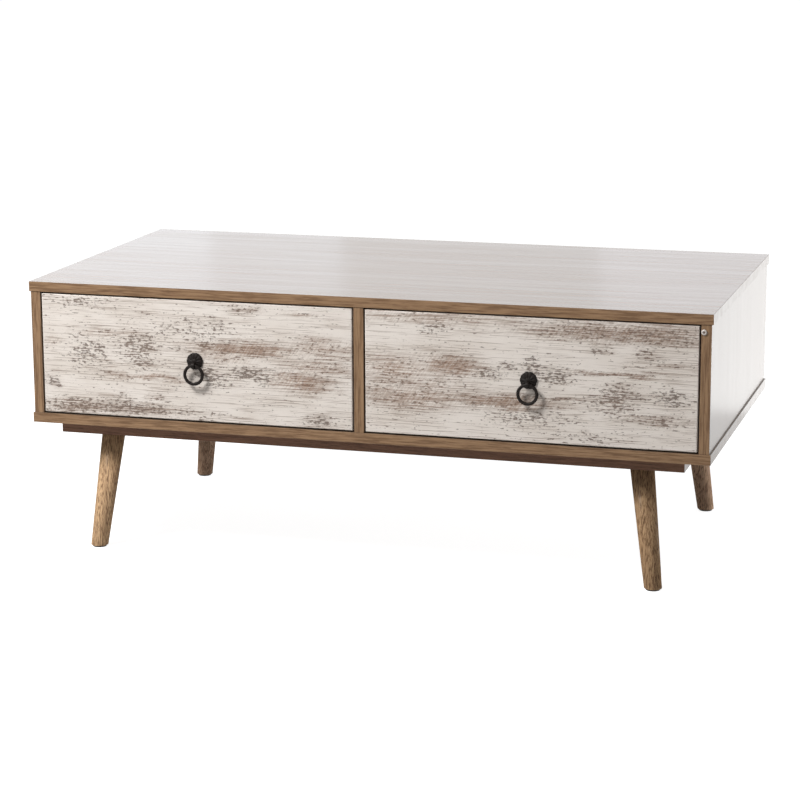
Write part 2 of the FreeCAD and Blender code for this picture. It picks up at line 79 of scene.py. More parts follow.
camera_data = bpy.data.cameras.new("photo_camera")
camera_data.sensor_fit = "HORIZONTAL"
camera_data.sensor_width = SENSOR_MM
camera_data.lens = CAMERA_LENS_MM
camera = bpy.data.objects.new("photo_camera", camera_data)
camera.matrix_world = Matrix.Translation(CAMERA_PLACE) @ camera_turn(
    CAMERA_AZIMUTH, CAMERA_ELEVATION, CAMERA_ROLL
)
bpy.context.scene.collection.objects.link(camera)
bpy.context.scene.camera = camera
print(f"camera {CAMERA_PLACE.length:.2f} m away, {CAMERA_LENS_MM:.0f} mm lens")

# %% [markdown]
# ## Small tools for materials
# A material in Blender is a graph of nodes. A few short helpers keep the graphs readable: one adds a
# node and fills its inputs, the others wrap the nodes that we use again and again, such as noise,
# sums and colour mixes.

# %% Helpers that build node graphs
MIX_COLOUR_SOCKETS = {"factor": 0, "first": 6, "second": 7, "result": 2}


def fill(tree, socket, value):
    """Link a socket to another one, or write a plain value into it."""
    if isinstance(value, bpy.types.NodeSocket):
        tree.links.new(value, socket)
    else:
        socket.default_value = value


def add_node(tree, kind, settings=None, inputs=None):
    """Add a node, set its options, and fill its inputs by name or number."""
    node = tree.nodes.new(kind)
    for name, value in (settings or {}).items():
        setattr(node, name, value)
    for name, value in (inputs or {}).items():
        fill(tree, node.inputs[name], value)
    return node


def calculate(tree, operation, first, second=0.0):
    """One sum with numbers, such as ADD or MULTIPLY."""
    node = add_node(tree, "ShaderNodeMath", {"operation": operation}, {0: first, 1: second})
    return node.outputs[0]


def span(tree, value, low, high, to_low=0.0, to_high=1.0):
    """Stretch low..high to to_low..to_high and stop at both ends, with soft shoulders."""
    settings = {"interpolation_type": "SMOOTHSTEP"}
    inputs = {"Value": value, "From Min": low, "From Max": high, "To Min": to_low, "To Max": to_high}
    return add_node(tree, "ShaderNodeMapRange", settings, inputs).outputs["Result"]


def stretch(tree, vector, factors):
    """Multiply a vector by a factor for each axis."""
    node = add_node(tree, "ShaderNodeVectorMath", {"operation": "MULTIPLY"}, {0: vector, 1: factors})
    return node.outputs["Vector"]


def noise(tree, vector, factors, detail=4.0, roughness=0.55):
    """Cloudy values from 0 to 1; large factors make fine clouds along that axis."""
    inputs = {
        "Vector": stretch(tree, vector, factors),
        "Scale": 1.0,
        "Detail": detail,
        "Roughness": roughness,
    }
    return add_node(tree, "ShaderNodeTexNoise", None, inputs).outputs["Fac"]


def blend(tree, factor, first, second):
    """Mix two colours: 0 gives the first one and 1 the second one."""
    sockets = MIX_COLOUR_SOCKETS
    inputs = {sockets["factor"]: factor, sockets["first"]: first, sockets["second"]: second}
    node = add_node(tree, "ShaderNodeMix", {"data_type": "RGBA"}, inputs)
    return node.outputs[sockets["result"]]


def bump(tree, height, distance):
    """Tilt the surface as a relief of this height, in metres, would."""
    inputs = {"Height": height, "Distance": distance, "Strength": 1.0}
    return add_node(tree, "ShaderNodeBump", None, inputs).outputs["Normal"]


def local_place(tree):
    """The place on the piece, in metres, which stays with the piece when it moves."""
    return add_node(tree, "ShaderNodeTexCoord").outputs["Object"]


def new_finish(name):
    """An empty material: its graph and its shader."""
    material = bpy.data.materials.new(name)
    material.use_nodes = True
    return material, material.node_tree, material.node_tree.nodes["Principled BSDF"]


def settle(shader, **values):
    """Write plain values on the shader's own sockets."""
    for name, value in values.items():
        shader.inputs[name.replace("_", " ")].default_value = value


print("helpers ready")

# %% [markdown]
# ## Shared effects
# Wood shows up in many places on this table, each time with its fibres in another direction. We build
# the fibres once, as a node group, for wood that grows along its own first axis. A second group finds
# worn edges: it compares the true normal with a normal that is softened over a small radius, and
# where the two differ there is an edge.

# %% Node groups for fibres and worn edges
# How fine each noise is along the wood and across it
SWAY_FINENESS = (2.2, 7.0, 7.0)
FIBRE_FINENESS = (9.0, 420.0, 420.0)
PORE_FINENESS = (34.0, 900.0, 900.0)
BAND_FINENESS = (2.4, 52.0, 52.0)
SWAY_REACH = (0.0, 0.016, 0.016)
PORE_CUTS = (0.60, 0.72)
EDGE_SAMPLES = 6
EDGE_LIKENESS = (0.995, 0.80)


def new_group(name, inputs, outputs):
    """An empty node group with named sockets; returns its graph, its input node and its output node."""
    tree = bpy.data.node_groups.new(name, "ShaderNodeTree")
    for socket_name, kind in inputs:
        tree.interface.new_socket(socket_name, in_out="INPUT", socket_type=kind)
    for socket_name in outputs:
        tree.interface.new_socket(socket_name, in_out="OUTPUT", socket_type="NodeSocketFloat")
    return tree, tree.nodes.new("NodeGroupInput"), tree.nodes.new("NodeGroupOutput")


def build_fibre_group():
    """Fine fibres, dark pores and broad bands of wood that grows along the first axis."""
    sockets = [("Place", "NodeSocketVector"), ("Shortness", "NodeSocketFloat")]
    tree, given, made = new_group("wood_fibres", sockets, ["Fibres", "Pores", "Bands"])
    sway = noise(tree, given.outputs["Place"], SWAY_FINENESS, 2.0)
    bend = stretch(tree, sway, SWAY_REACH)
    settings = {"operation": "ADD"}
    bent = add_node(tree, "ShaderNodeVectorMath", settings, {0: given.outputs["Place"], 1: bend})
    bent = bent.outputs["Vector"]
    lengths = {0: given.outputs["Shortness"], 1: 1.0, 2: 1.0}
    factors = add_node(tree, "ShaderNodeCombineXYZ", None, lengths).outputs[0]
    short = stretch(tree, bent, factors)
    fill(tree, made.inputs["Fibres"], noise(tree, short, FIBRE_FINENESS, 5.0, 0.62))
    pores = noise(tree, short, PORE_FINENESS, 2.0, 0.5)
    fill(tree, made.inputs["Pores"], span(tree, pores, *PORE_CUTS))
    fill(tree, made.inputs["Bands"], noise(tree, bent, BAND_FINENESS, 3.0, 0.5))
    return tree


def build_edge_group():
    """1 at an edge that sticks out or in, and 0 on a flat face."""
    tree, given, made = new_group("worn_edges", [("Radius", "NodeSocketFloat")], ["Edge"])
    settings = {"samples": EDGE_SAMPLES}
    soft = add_node(tree, "ShaderNodeBevel", settings, {"Radius": given.outputs["Radius"]})
    true = add_node(tree, "ShaderNodeNewGeometry")
    sockets = {0: soft.outputs["Normal"], 1: true.outputs["Normal"]}
    same = add_node(tree, "ShaderNodeVectorMath", {"operation": "DOT_PRODUCT"}, sockets)
    fill(tree, made.inputs["Edge"], span(tree, same.outputs["Value"], *EDGE_LIKENESS))
    return tree


FIBRE_GROUP = build_fibre_group()
EDGE_GROUP = build_edge_group()
GRAIN_ORDER = {"X": "XYZ", "Y": "YXZ", "Z": "ZXY"}


def lengthwise(tree, along):
    """The place on the piece, turned so that the wood's length comes first."""
    apart = add_node(tree, "ShaderNodeSeparateXYZ", None, {0: local_place(tree)})
    ordered = [apart.outputs[axis] for axis in GRAIN_ORDER[along]]
    return add_node(tree, "ShaderNodeCombineXYZ", None, dict(enumerate(ordered))).outputs[0]


def fibres(tree, along, shortness, fineness):
    """The fibre group in a material, for wood that grows along the given axis."""
    place = stretch(tree, lengthwise(tree, along), (fineness,) * 3)
    inputs = {"Place": place, "Shortness": shortness}
    return add_node(tree, "ShaderNodeGroup", {"node_tree": FIBRE_GROUP}, inputs).outputs


def edges(tree, radius):
    """The edge group in a material."""
    group = add_node(tree, "ShaderNodeGroup", {"node_tree": EDGE_GROUP}, {"Radius": radius})
    return group.outputs["Edge"]


print("groups:", [group.name for group in bpy.data.node_groups])

# %% [markdown]
# ## Oak-look boards
# The case is chipboard with a printed oak laminate under a satin film. Under the film the print is mixed
# towards a dark grey. This is painted shade: it holds down the brown that the lamps bring out on the top
# and the sides, and it is weak on the taped edges. Seen at a low angle the film mirrors the bright
# studio and the top turns pale, as in the photograph. So the print goes into the base colour and the
# film is a coat on top of it. The edges are closed with tape, which has a thinner film and a bolder,
# straighter grain. The rails wear the same kind of print in darker tones, which paint the shade under
# the case onto them. The legs are solid oak, each with its own tone: partly its own stain, and partly
# painted light and shade, darker on the front right leg and lighter on the others.

# %% Make the laminate and the other woods
LAMINATE_TONES = ((0.150, 0.082, 0.043, 1), (0.268, 0.152, 0.078, 1), (0.372, 0.230, 0.128, 1))
# Darker than the laminate: painted shade for the shade that falls on the rails under the case
RAIL_SHADED_TONES = ((0.088, 0.039, 0.021, 1), (0.211, 0.099, 0.056, 1), (0.312, 0.161, 0.094, 1))
LEG_TONES = ((0.135, 0.080, 0.048, 1), (0.360, 0.224, 0.127, 1), (0.650, 0.441, 0.257, 1))
BOX_TONES = ((0.270, 0.190, 0.125, 1), (0.430, 0.325, 0.230, 1), (0.520, 0.405, 0.300, 1))
THIN_TONES = ((0.150, 0.098, 0.062, 1), (0.235, 0.160, 0.104, 1), (0.290, 0.205, 0.140, 1))
TONGUE_TONES = ((0.360, 0.250, 0.150, 1), (0.520, 0.390, 0.250, 1), (0.600, 0.470, 0.320, 1))
# Red, green and blue share of the oak per leg: own stain plus painted shade (front right) and painted
# light (the rest)
LEG_STAINS_AND_LIGHT = {
    "front_left": (1.13, 1.13, 1.13),
    "front_right": (0.78, 0.76, 0.74),
    "rear_left": (1.08, 1.10, 1.30),
    "rear_right": (1.30, 1.33, 1.56),
}
TURNED_GRAIN = {"coat": 0.06, "relief": 0.0002, "shortness": 4.0, "fineness": 2.0, "softness": 0.11}
# How much of its own tone each part of the grain shows
BAND_COVER = 0.55
STREAK_COVER = 0.75
PORE_COVER = 0.55
EDGE_TAPE_COAT = 0.25
TAPE_GRAIN = 0.6
RAIL_TAPE_GRAIN = 0.15
TAPE_FINENESS = (20.0, 340.0, 340.0)
TAPE_FACING = (0.4, 0.9)
TAPE_PALE_CUTS = (0.50, 0.60)
TAPE_DEEP_CUTS = (0.48, 0.38)
# Painted shade: the dark grey that the print is mixed towards under the film
FILM_PAINTED_SHADE = (0.085, 0.076, 0.068, 1)
PAINTED_SHADE_DEPTH = 0.66
FILM_ROUGHNESS = 0.24
FILM_IOR = 1.5
FILM_MOTTLE = (0.45, 0.95)
FILM_MOTTLE_FIBRES = 0.4


def wood_finish(
    name, along, tones, coat=0.0, roughness=(0.42, 0.58), relief=0.00012,
    shortness=2.5, fineness=1.0, softness=0.21
):
    """Wood of three tones: dark pores and bands, a middle tone, and light fibres."""
    dark, middle, light = tones
    material, tree, shader = new_finish(name)
    grain = fibres(tree, along, shortness, fineness)
    bands = span(tree, grain["Bands"], 0.32, 0.68)
    lit = span(tree, grain["Fibres"], 0.51 - softness, 0.51 + softness)
    tone = blend(tree, lit, middle, light)
    tone = blend(tree, calculate(tree, "MULTIPLY", bands, BAND_COVER), tone, middle)
    streaks = span(tree, grain["Fibres"], 0.50, 0.50 - softness, 0.0, STREAK_COVER)
    tone = blend(tree, streaks, tone, dark)
    tone = blend(tree, calculate(tree, "MULTIPLY", grain["Pores"], PORE_COVER), tone, dark)
    fill(tree, shader.inputs["Base Color"], tone)
    rough = span(tree, grain["Fibres"], 0.25, 0.75, *roughness)
    fill(tree, shader.inputs["Roughness"], rough)
    fill(tree, shader.inputs["Normal"], bump(tree, grain["Fibres"], relief))
    settle(shader, Coat_Weight=coat, Coat_Roughness=FILM_ROUGHNESS, Coat_IOR=FILM_IOR)
    settle(shader, Specular_IOR_Level=0.0)
    return material


def laminate_finish(name, along, tones, thinnest, tape_grain):
    """Laminate with a satin film, which is thin on the taped edges and in the print's bands."""
    material = wood_finish(name, along, tones)
    tree = material.node_tree
    facing = add_node(tree, "ShaderNodeTexCoord").outputs["Normal"]
    apart = add_node(tree, "ShaderNodeSeparateXYZ", None, {0: facing})
    on_tape = calculate(tree, "ABSOLUTE", apart.outputs["Y"])
    taped = span(tree, on_tape, *TAPE_FACING)
    film = span(tree, taped, 0.0, 1.0, 1.0, EDGE_TAPE_COAT)
    grain = fibres(tree, along, 1.0, 1.0)
    mottle = calculate(tree, "MULTIPLY", grain["Fibres"], FILM_MOTTLE_FIBRES)
    mottle = calculate(tree, "ADD", grain["Bands"], mottle)
    film = calculate(tree, "MULTIPLY", film, span(tree, mottle, *FILM_MOTTLE, thinnest, 1.0))
    shader = tree.nodes["Principled BSDF"]
    fill(tree, shader.inputs["Coat Weight"], film)
    under_film = shader.inputs["Base Color"].links[0].from_socket
    # Painted shade: under the film the print goes towards a dark grey, holding down the brown the lamps
    # bring out
    painted_shade_share = calculate(tree, "MULTIPLY", film, PAINTED_SHADE_DEPTH)
    tone = blend(tree, painted_shade_share, under_film, FILM_PAINTED_SHADE)
    bold = noise(tree, lengthwise(tree, along), TAPE_FINENESS, 3.0, 0.6)
    pale = calculate(tree, "MULTIPLY", taped, span(tree, bold, *TAPE_PALE_CUTS, 0.0, tape_grain))
    tone = blend(tree, pale, tone, tones[2])
    deep = calculate(tree, "MULTIPLY", taped, span(tree, bold, *TAPE_DEEP_CUTS, 0.0, tape_grain))
    fill(tree, shader.inputs["Base Color"], blend(tree, deep, tone, tones[0]))
    return material


oak_lengthwise = laminate_finish("oak_laminate_lengthwise", "X", LAMINATE_TONES, 0.86, TAPE_GRAIN)
oak_upright = laminate_finish("oak_laminate_upright", "Z", LAMINATE_TONES, 0.96, TAPE_GRAIN)
# The rails' darker tones are painted shade
shaded_rail_wood = laminate_finish("rail_laminate_painted_shade", "X", RAIL_SHADED_TONES, 0.86, RAIL_TAPE_GRAIN)
leg_woods = {}
# Each leg's tone is scaled partly by its own stain and partly by painted light and shade
for corner, stain_and_light in LEG_STAINS_AND_LIGHT.items():
    tones = [[part * share for part, share in zip(tone, stain_and_light)] + [1] for tone in LEG_TONES]
    leg_woods[f"{corner}_leg"] = wood_finish(f"{corner}_leg_wood", "Z", tones, **TURNED_GRAIN)
box_board = wood_finish("drawer_box_board", "Y", BOX_TONES, coat=0.4)
box_cross_board = wood_finish("drawer_back_board", "X", BOX_TONES, coat=0.4)
thin_board = wood_finish("thin_backing_board", "X", THIN_TONES, coat=0.2, roughness=(0.55, 0.75))
tongue_wood = wood_finish("tongue_plywood", "Y", TONGUE_TONES)
print("woods:", len(bpy.data.materials))

# %% [markdown]
# ## Rubbed cream paint
# The drawer fronts have thick cream paint over brown wood. It is scratched along the grain in fine
# lines, chipped in small flecks, and rubbed thin in smudges, some warm brown and some grey. We place
# each smudge as a soft ellipse on the front. It thins the paint to a brown wash and makes the
# flecks denser; streaky noise then breaks its edge up, so that no outline is left.

# %% Make the paint for each drawer front
CREAM = (0.800, 0.735, 0.675, 1)
CREAM_SHADE = (0.720, 0.650, 0.585, 1)
RUBBED_WARM = (0.400, 0.255, 0.172, 1)
RUBBED_GREY = (0.300, 0.232, 0.186, 1)
SCRATCH = (0.200, 0.128, 0.090, 1)
CHIP = (0.118, 0.082, 0.062, 1)
WARM_SCRATCH = (0.255, 0.148, 0.096, 1)
# How fine each noise of the paint is along x, y and z
LINE_FINENESS = (13.0, 950.0, 950.0)
DASH_FINENESS = (48.0, 720.0, 720.0)
CRUMB_FINENESS = (150.0, 280.0, 280.0)
HATCH_FINENESS = (40.0, 1.0, 420.0)
CLOUD_FINENESS = (9.0, 1.0, 34.0)
DRIFT_FINENESS = (22.0, 1.0, 90.0)
# How much of its own tone each kind of wear shows
WASH_COVER = 0.84
SCRATCH_COVER = 0.62
CHIP_COVER = 0.80
EDGE_COVER = 0.35
SCRATCH_CUTS = (0.68, 0.735)
CHIP_CUTS = (0.628, 0.675)
PAINT_EDGE_RADIUS = 0.0014
PAINT_RELIEF = 0.00016
RUB_FADE = (1.9, 0.1)
HATCH_ANGLE = math.radians(55)
DRIFT_ACROSS = 0.12
DRIFT_DOWN = 0.15

# Each rub: across from the left, down from the top, half width, half height, wash, flecks, warmth
LEFT_RUBS = [
    (0.14, 0.05, 0.09, 0.05, 0.2, 0.7, 0.2),
    (0.20, 0.30, 0.12, 0.03, 0.4, 0.5, 0.6),
    (0.15, 0.46, 0.06, 0.12, 0.0, 0.8, 0.1),
    (0.32, 0.43, 0.06, 0.14, 0.2, 0.9, 0.4),
    (0.34, 0.66, 0.11, 0.03, 0.8, 0.5, 0.9),
    (0.03, 0.74, 0.03, 0.03, 0.4, 0.9, 0.0),
    (0.03, 0.40, 0.03, 0.05, 0.4, 0.4, 0.6),
    (0.11, 0.94, 0.13, 0.06, 0.6, 0.8, 0.4),
    (0.30, 0.93, 0.10, 0.06, 0.7, 0.9, 0.3),
    (0.46, 0.94, 0.10, 0.04, 0.2, 0.6, 0.2),
    (0.26, 0.83, 0.03, 0.03, 0.4, 0.8, 0.2),
    (0.37, 0.83, 0.03, 0.03, 0.5, 0.8, 0.4),
    (0.47, 0.42, 0.05, 0.01, 0.6, 0.9, 0.2),
    (0.67, 0.38, 0.16, 0.06, 1.0, 0.5, 0.9),
    (0.91, 0.34, 0.10, 0.08, 0.6, 0.5, 0.8),
    (0.53, 0.36, 0.02, 0.05, 0.3, 1.0, 0.0),
    (0.60, 0.46, 0.07, 0.03, 0.6, 0.5, 0.8),
    (0.55, 0.63, 0.05, 0.08, 0.2, 0.9, 0.0),
    (0.68, 0.59, 0.08, 0.07, 0.2, 0.9, 0.1),
    (0.84, 0.63, 0.09, 0.08, 0.9, 0.5, 0.9),
    (0.89, 0.50, 0.12, 0.06, 0.5, 0.5, 0.8),
    (0.67, 0.05, 0.05, 0.04, 0.5, 0.8, 0.4),
    (0.85, 0.07, 0.05, 0.02, 0.5, 0.5, 0.6),
    (0.89, 0.94, 0.04, 0.05, 0.3, 0.8, 0.1),
    (0.50, 0.25, 0.14, 0.11, 0.0, 0.5, 0.1),
]
RIGHT_RUBS = [
    (0.20, 0.04, 0.24, 0.05, 0.6, 0.3, 0.6),
    (0.21, 0.12, 0.04, 0.06, 0.2, 0.8, 0.1),
    (0.76, 0.09, 0.26, 0.08, 0.9, 0.6, 0.6),
    (0.72, 0.24, 0.03, 0.03, 0.5, 0.8, 0.2),
    (0.85, 0.25, 0.03, 0.03, 0.5, 0.8, 0.3),
    (0.90, 0.34, 0.10, 0.02, 0.3, 0.4, 0.4),
    (0.26, 0.42, 0.09, 0.08, 1.0, 0.5, 1.0),
    (0.09, 0.45, 0.11, 0.09, 0.6, 0.5, 1.0),
    (0.15, 0.57, 0.17, 0.06, 0.5, 0.5, 0.7),
    (0.14, 0.69, 0.16, 0.10, 0.8, 0.5, 0.8),
    (0.42, 0.68, 0.15, 0.06, 1.0, 0.5, 0.8),
    (0.38, 0.46, 0.04, 0.05, 0.2, 0.9, 0.1),
    (0.44, 0.40, 0.03, 0.05, 0.2, 0.9, 0.2),
    (0.51, 0.39, 0.03, 0.07, 0.2, 0.9, 0.0),
    (0.58, 0.46, 0.05, 0.07, 0.3, 1.0, 0.0),
    (0.61, 0.64, 0.05, 0.01, 0.8, 1.0, 0.0),
    (0.74, 0.41, 0.12, 0.02, 0.9, 0.6, 0.6),
    (0.76, 0.62, 0.07, 0.12, 0.4, 0.9, 0.4),
    (0.93, 0.59, 0.05, 0.07, 0.2, 0.9, 0.0),
    (0.90, 0.76, 0.11, 0.04, 0.4, 0.6, 0.4),
    (0.50, 0.80, 0.13, 0.08, 0.0, 0.6, 0.1),
    (0.68, 0.93, 0.09, 0.04, 0.1, 0.5, 0.1),
]


def straight_span(tree, value, low, high):
    """Stretch low..high to 0..1 in a straight line."""
    inputs = {"Value": value, "From Min": low, "From Max": high}
    return add_node(tree, "ShaderNodeMapRange", {"clamp": False}, inputs).outputs["Result"]


def rub_amounts(tree, spot, rubs):
    """Wash, flecks and warmth at a spot of the front, each the most that any rub gives there."""
    most = (0.0, 0.0, 0.0)
    for across, down, half_width, half_height, wash, flecks, warmth in rubs:
        size = (1 / half_width, 1 / half_height, 0)
        shift = (-across / half_width, -down / half_height, 0)
        settings = {"operation": "MULTIPLY_ADD"}
        inside = add_node(tree, "ShaderNodeVectorMath", settings, {0: spot, 1: size, 2: shift})
        settings = {"operation": "LENGTH"}
        distance = add_node(tree, "ShaderNodeVectorMath", settings, {0: inside.outputs["Vector"]})
        here = span(tree, distance.outputs["Value"], *RUB_FADE)
        settings = {"operation": "SCALE"}
        inputs = {0: (wash, flecks, warmth), "Scale": here}
        amounts = add_node(tree, "ShaderNodeVectorMath", settings, inputs)
        settings = {"operation": "MAXIMUM"}
        most = add_node(tree, "ShaderNodeVectorMath", settings, {0: most, 1: amounts.outputs["Vector"]})
        most = most.outputs["Vector"]
    return add_node(tree, "ShaderNodeSeparateXYZ", None, {0: most}).outputs


def front_spot(tree, place, front):
    """Where a place lies on the front, from 0 to 1 across and down, shifted a little by noise."""
    low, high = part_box(front)
    apart = add_node(tree, "ShaderNodeSeparateXYZ", None, {0: place})
    drift = calculate(tree, "SUBTRACT", noise(tree, place, DRIFT_FINENESS, 4.0, 0.65), 0.5)
    across = straight_span(tree, apart.outputs["X"], low.x, high.x)
    across = calculate(tree, "ADD", across, calculate(tree, "MULTIPLY", drift, DRIFT_ACROSS))
    down = straight_span(tree, apart.outputs["Z"], high.z, low.z)
    down = calculate(tree, "ADD", down, calculate(tree, "MULTIPLY", drift, DRIFT_DOWN))
    return add_node(tree, "ShaderNodeCombineXYZ", None, {0: across, 1: down}).outputs[0]


def paint_finish(name, front, rubs):
    """Cream paint on one drawer front, scratched along the grain, with its own rubs."""
    material, tree, shader = new_finish(name)
    place = local_place(tree)
    wash, chipping, warmth = rub_amounts(tree, front_spot(tree, place, front), rubs)
    facing = add_node(tree, "ShaderNodeTexCoord").outputs["Normal"]
    facing = add_node(tree, "ShaderNodeSeparateXYZ", None, {0: facing}).outputs["Y"]
    outside = span(tree, facing, 0.8, 0.4)
    wash = calculate(tree, "MULTIPLY", wash, outside)
    chipping = calculate(tree, "MULTIPLY", chipping, outside)

    lines = noise(tree, place, LINE_FINENESS, 2.0, 0.6)
    dashes = noise(tree, place, DASH_FINENESS, 4.0, 0.62)
    crumbs = noise(tree, place, CRUMB_FINENESS, 4.0, 0.6)
    turned = add_node(tree, "ShaderNodeVectorRotate", {"rotation_type": "Y_AXIS"}, {"Vector": place})
    turned.inputs["Angle"].default_value = HATCH_ANGLE
    hatch = noise(tree, turned.outputs["Vector"], HATCH_FINENESS, 3.0)
    clouds = noise(tree, place, CLOUD_FINENESS, 3.0)

    thin = calculate(tree, "MULTIPLY", wash, span(tree, dashes, 0.38, 0.58, 0.45, 1.0))
    thin = calculate(tree, "MULTIPLY", thin, span(tree, hatch, 0.42, 0.56, 0.22, 1.0))
    thin = calculate(tree, "MULTIPLY", thin, span(tree, crumbs, 0.62, 0.70, 1.0, 0.2))
    drawn = calculate(tree, "ADD", lines, calculate(tree, "MULTIPLY", wash, 0.17))
    drawn = calculate(tree, "ADD", drawn, calculate(tree, "MULTIPLY", clouds, 0.20))
    scratches = span(tree, drawn, *SCRATCH_CUTS)
    broken = calculate(tree, "MULTIPLY", dashes, 0.45)
    broken = calculate(tree, "ADD", broken, calculate(tree, "MULTIPLY", crumbs, 0.55))
    broken = calculate(tree, "ADD", broken, calculate(tree, "MULTIPLY", chipping, 0.13))
    broken = calculate(tree, "ADD", broken, calculate(tree, "MULTIPLY", clouds, 0.09))
    chips = span(tree, broken, *CHIP_CUTS)
    edge = edges(tree, PAINT_EDGE_RADIUS)
    edge = calculate(tree, "MULTIPLY", edge, span(tree, dashes, 0.42, 0.62))

    tone = blend(tree, span(tree, clouds, 0.35, 0.70), CREAM, CREAM_SHADE)
    wood = blend(tree, warmth, RUBBED_GREY, RUBBED_WARM)
    tone = blend(tree, calculate(tree, "MULTIPLY", thin, WASH_COVER), tone, wood)
    scratch_tone = blend(tree, warmth, SCRATCH, WARM_SCRATCH)
    tone = blend(tree, calculate(tree, "MULTIPLY", scratches, SCRATCH_COVER), tone, scratch_tone)
    chip_tone = blend(tree, warmth, CHIP, SCRATCH)
    tone = blend(tree, calculate(tree, "MULTIPLY", chips, CHIP_COVER), tone, chip_tone)
    tone = blend(tree, calculate(tree, "MULTIPLY", edge, EDGE_COVER), tone, RUBBED_GREY)
    fill(tree, shader.inputs["Base Color"], tone)
    fill(tree, shader.inputs["Roughness"], span(tree, chips, 0.0, 1.0, 0.48, 0.70))
    height = calculate(tree, "SUBTRACT", calculate(tree, "MULTIPLY", lines, 0.5), chips)
    fill(tree, shader.inputs["Normal"], bump(tree, height, PAINT_RELIEF))
    settle(shader, Specular_IOR_Level=0.3)
    return material


left_paint = paint_finish("rubbed_cream_left", "left_drawer_front", LEFT_RUBS)
right_paint = paint_finish("rubbed_cream_right", "right_drawer_front", RIGHT_RUBS)
print("rubs placed:", len(LEFT_RUBS), len(RIGHT_RUBS))

# %% [markdown]
# ## Metal and plastic
# The pulls are cast metal with a dark antique finish that is brighter where hands rub its edges. The
# runners are folded steel with white enamel, their rollers are nylon, screws and bolts are zinc
# plated, and the glides under the legs are black plastic. The stick-on bumper is soft milky plastic
# with a darker middle, where the wood shows through.

# %% Make the metals and plastics
ENAMEL_TONES = ((0.74, 0.73, 0.70, 1), (0.82, 0.81, 0.78, 1))
NYLON_TONES = ((0.70, 0.70, 0.67, 1), (0.80, 0.80, 0.77, 1))
GLIDE_TONES = ((0.018, 0.018, 0.018, 1), (0.035, 0.035, 0.034, 1))
ZINC_TONES = ((0.50, 0.50, 0.48, 1), (0.66, 0.65, 0.61, 1))
SCREW_TONES = ((0.52, 0.52, 0.50, 1), (0.66, 0.65, 0.61, 1))
# Painted shade in the sunk cross of each screw head
SCREW_SLOT_PAINTED_SHADE = (0.05, 0.05, 0.05, 1)
IRON_TONES = ((0.006, 0.004, 0.003, 1), (0.017, 0.012, 0.010, 1))
IRON_RUBBED_TONE = (0.085, 0.070, 0.062, 1)
MILK_TONES = ((0.54, 0.49, 0.45, 1), (0.66, 0.61, 0.57, 1))
BUMPER_MIDDLE_TONE = (0.13, 0.08, 0.055, 1)
# Where most values of a cloudy noise lie
CLOUDY = (0.3, 0.7)
SPECKLE = 900.0
SPECKLE_RELIEF = 0.00003
IRON_CLOUDS = 420.0
IRON_GRIT = 2600.0
IRON_RELIEF = 0.00018
IRON_EDGE_RADIUS = 0.0007
SCREW_CLOUDS = 1500.0
SCREW_SLOT_HALF_WIDTH = 0.00045
SCREW_SLOT_HALF_LENGTH = 0.0017
SCREW_SLOT_DEPTH = 0.0005
BUMPER_CLOUDS = 700.0
BUMPER_RELIEF = 0.00004
BUMPER_MIDDLE_RIM = 0.48
BUMPER_MIDDLE_CORE = 0.30


def plain_finish(name, tones, roughness, metallic=0.0):
    """A finish whose tone, gloss and surface waver a little, as cast, moulded or sprayed ones do."""
    material, tree, shader = new_finish(name)
    cloud = noise(tree, local_place(tree), (SPECKLE,) * 3, 4.0, 0.6)
    fill(tree, shader.inputs["Base Color"], blend(tree, span(tree, cloud, *CLOUDY), *tones))
    fill(tree, shader.inputs["Roughness"], span(tree, cloud, *CLOUDY, *roughness))
    fill(tree, shader.inputs["Normal"], bump(tree, cloud, SPECKLE_RELIEF))
    settle(shader, Metallic=metallic)
    return material


def iron_finish(name):
    """Dark antique metal: clouds of nearly black and dark brown, and edges rubbed brighter."""
    material, tree, shader = new_finish(name)
    place = local_place(tree)
    cloud = noise(tree, place, (IRON_CLOUDS,) * 3, 5.0, 0.6)
    grit = noise(tree, place, (IRON_GRIT,) * 3, 2.0)
    tone = blend(tree, span(tree, cloud, 0.35, 0.7), *IRON_TONES)
    rubbed = edges(tree, IRON_EDGE_RADIUS)
    rubbed = calculate(tree, "MULTIPLY", rubbed, span(tree, cloud, 0.40, 0.60))
    tone = blend(tree, calculate(tree, "MULTIPLY", rubbed, 0.6), tone, IRON_RUBBED_TONE)
    fill(tree, shader.inputs["Base Color"], tone)
    fill(tree, shader.inputs["Metallic"], span(tree, rubbed, 0.0, 1.0, 0.15, 0.8))
    fill(tree, shader.inputs["Roughness"], span(tree, cloud, *CLOUDY, 0.40, 0.62))
    settle(shader, Specular_IOR_Level=0.15)
    surface = calculate(tree, "ADD", cloud, calculate(tree, "MULTIPLY", grit, 0.3))
    fill(tree, shader.inputs["Normal"], bump(tree, surface, IRON_RELIEF))
    return material


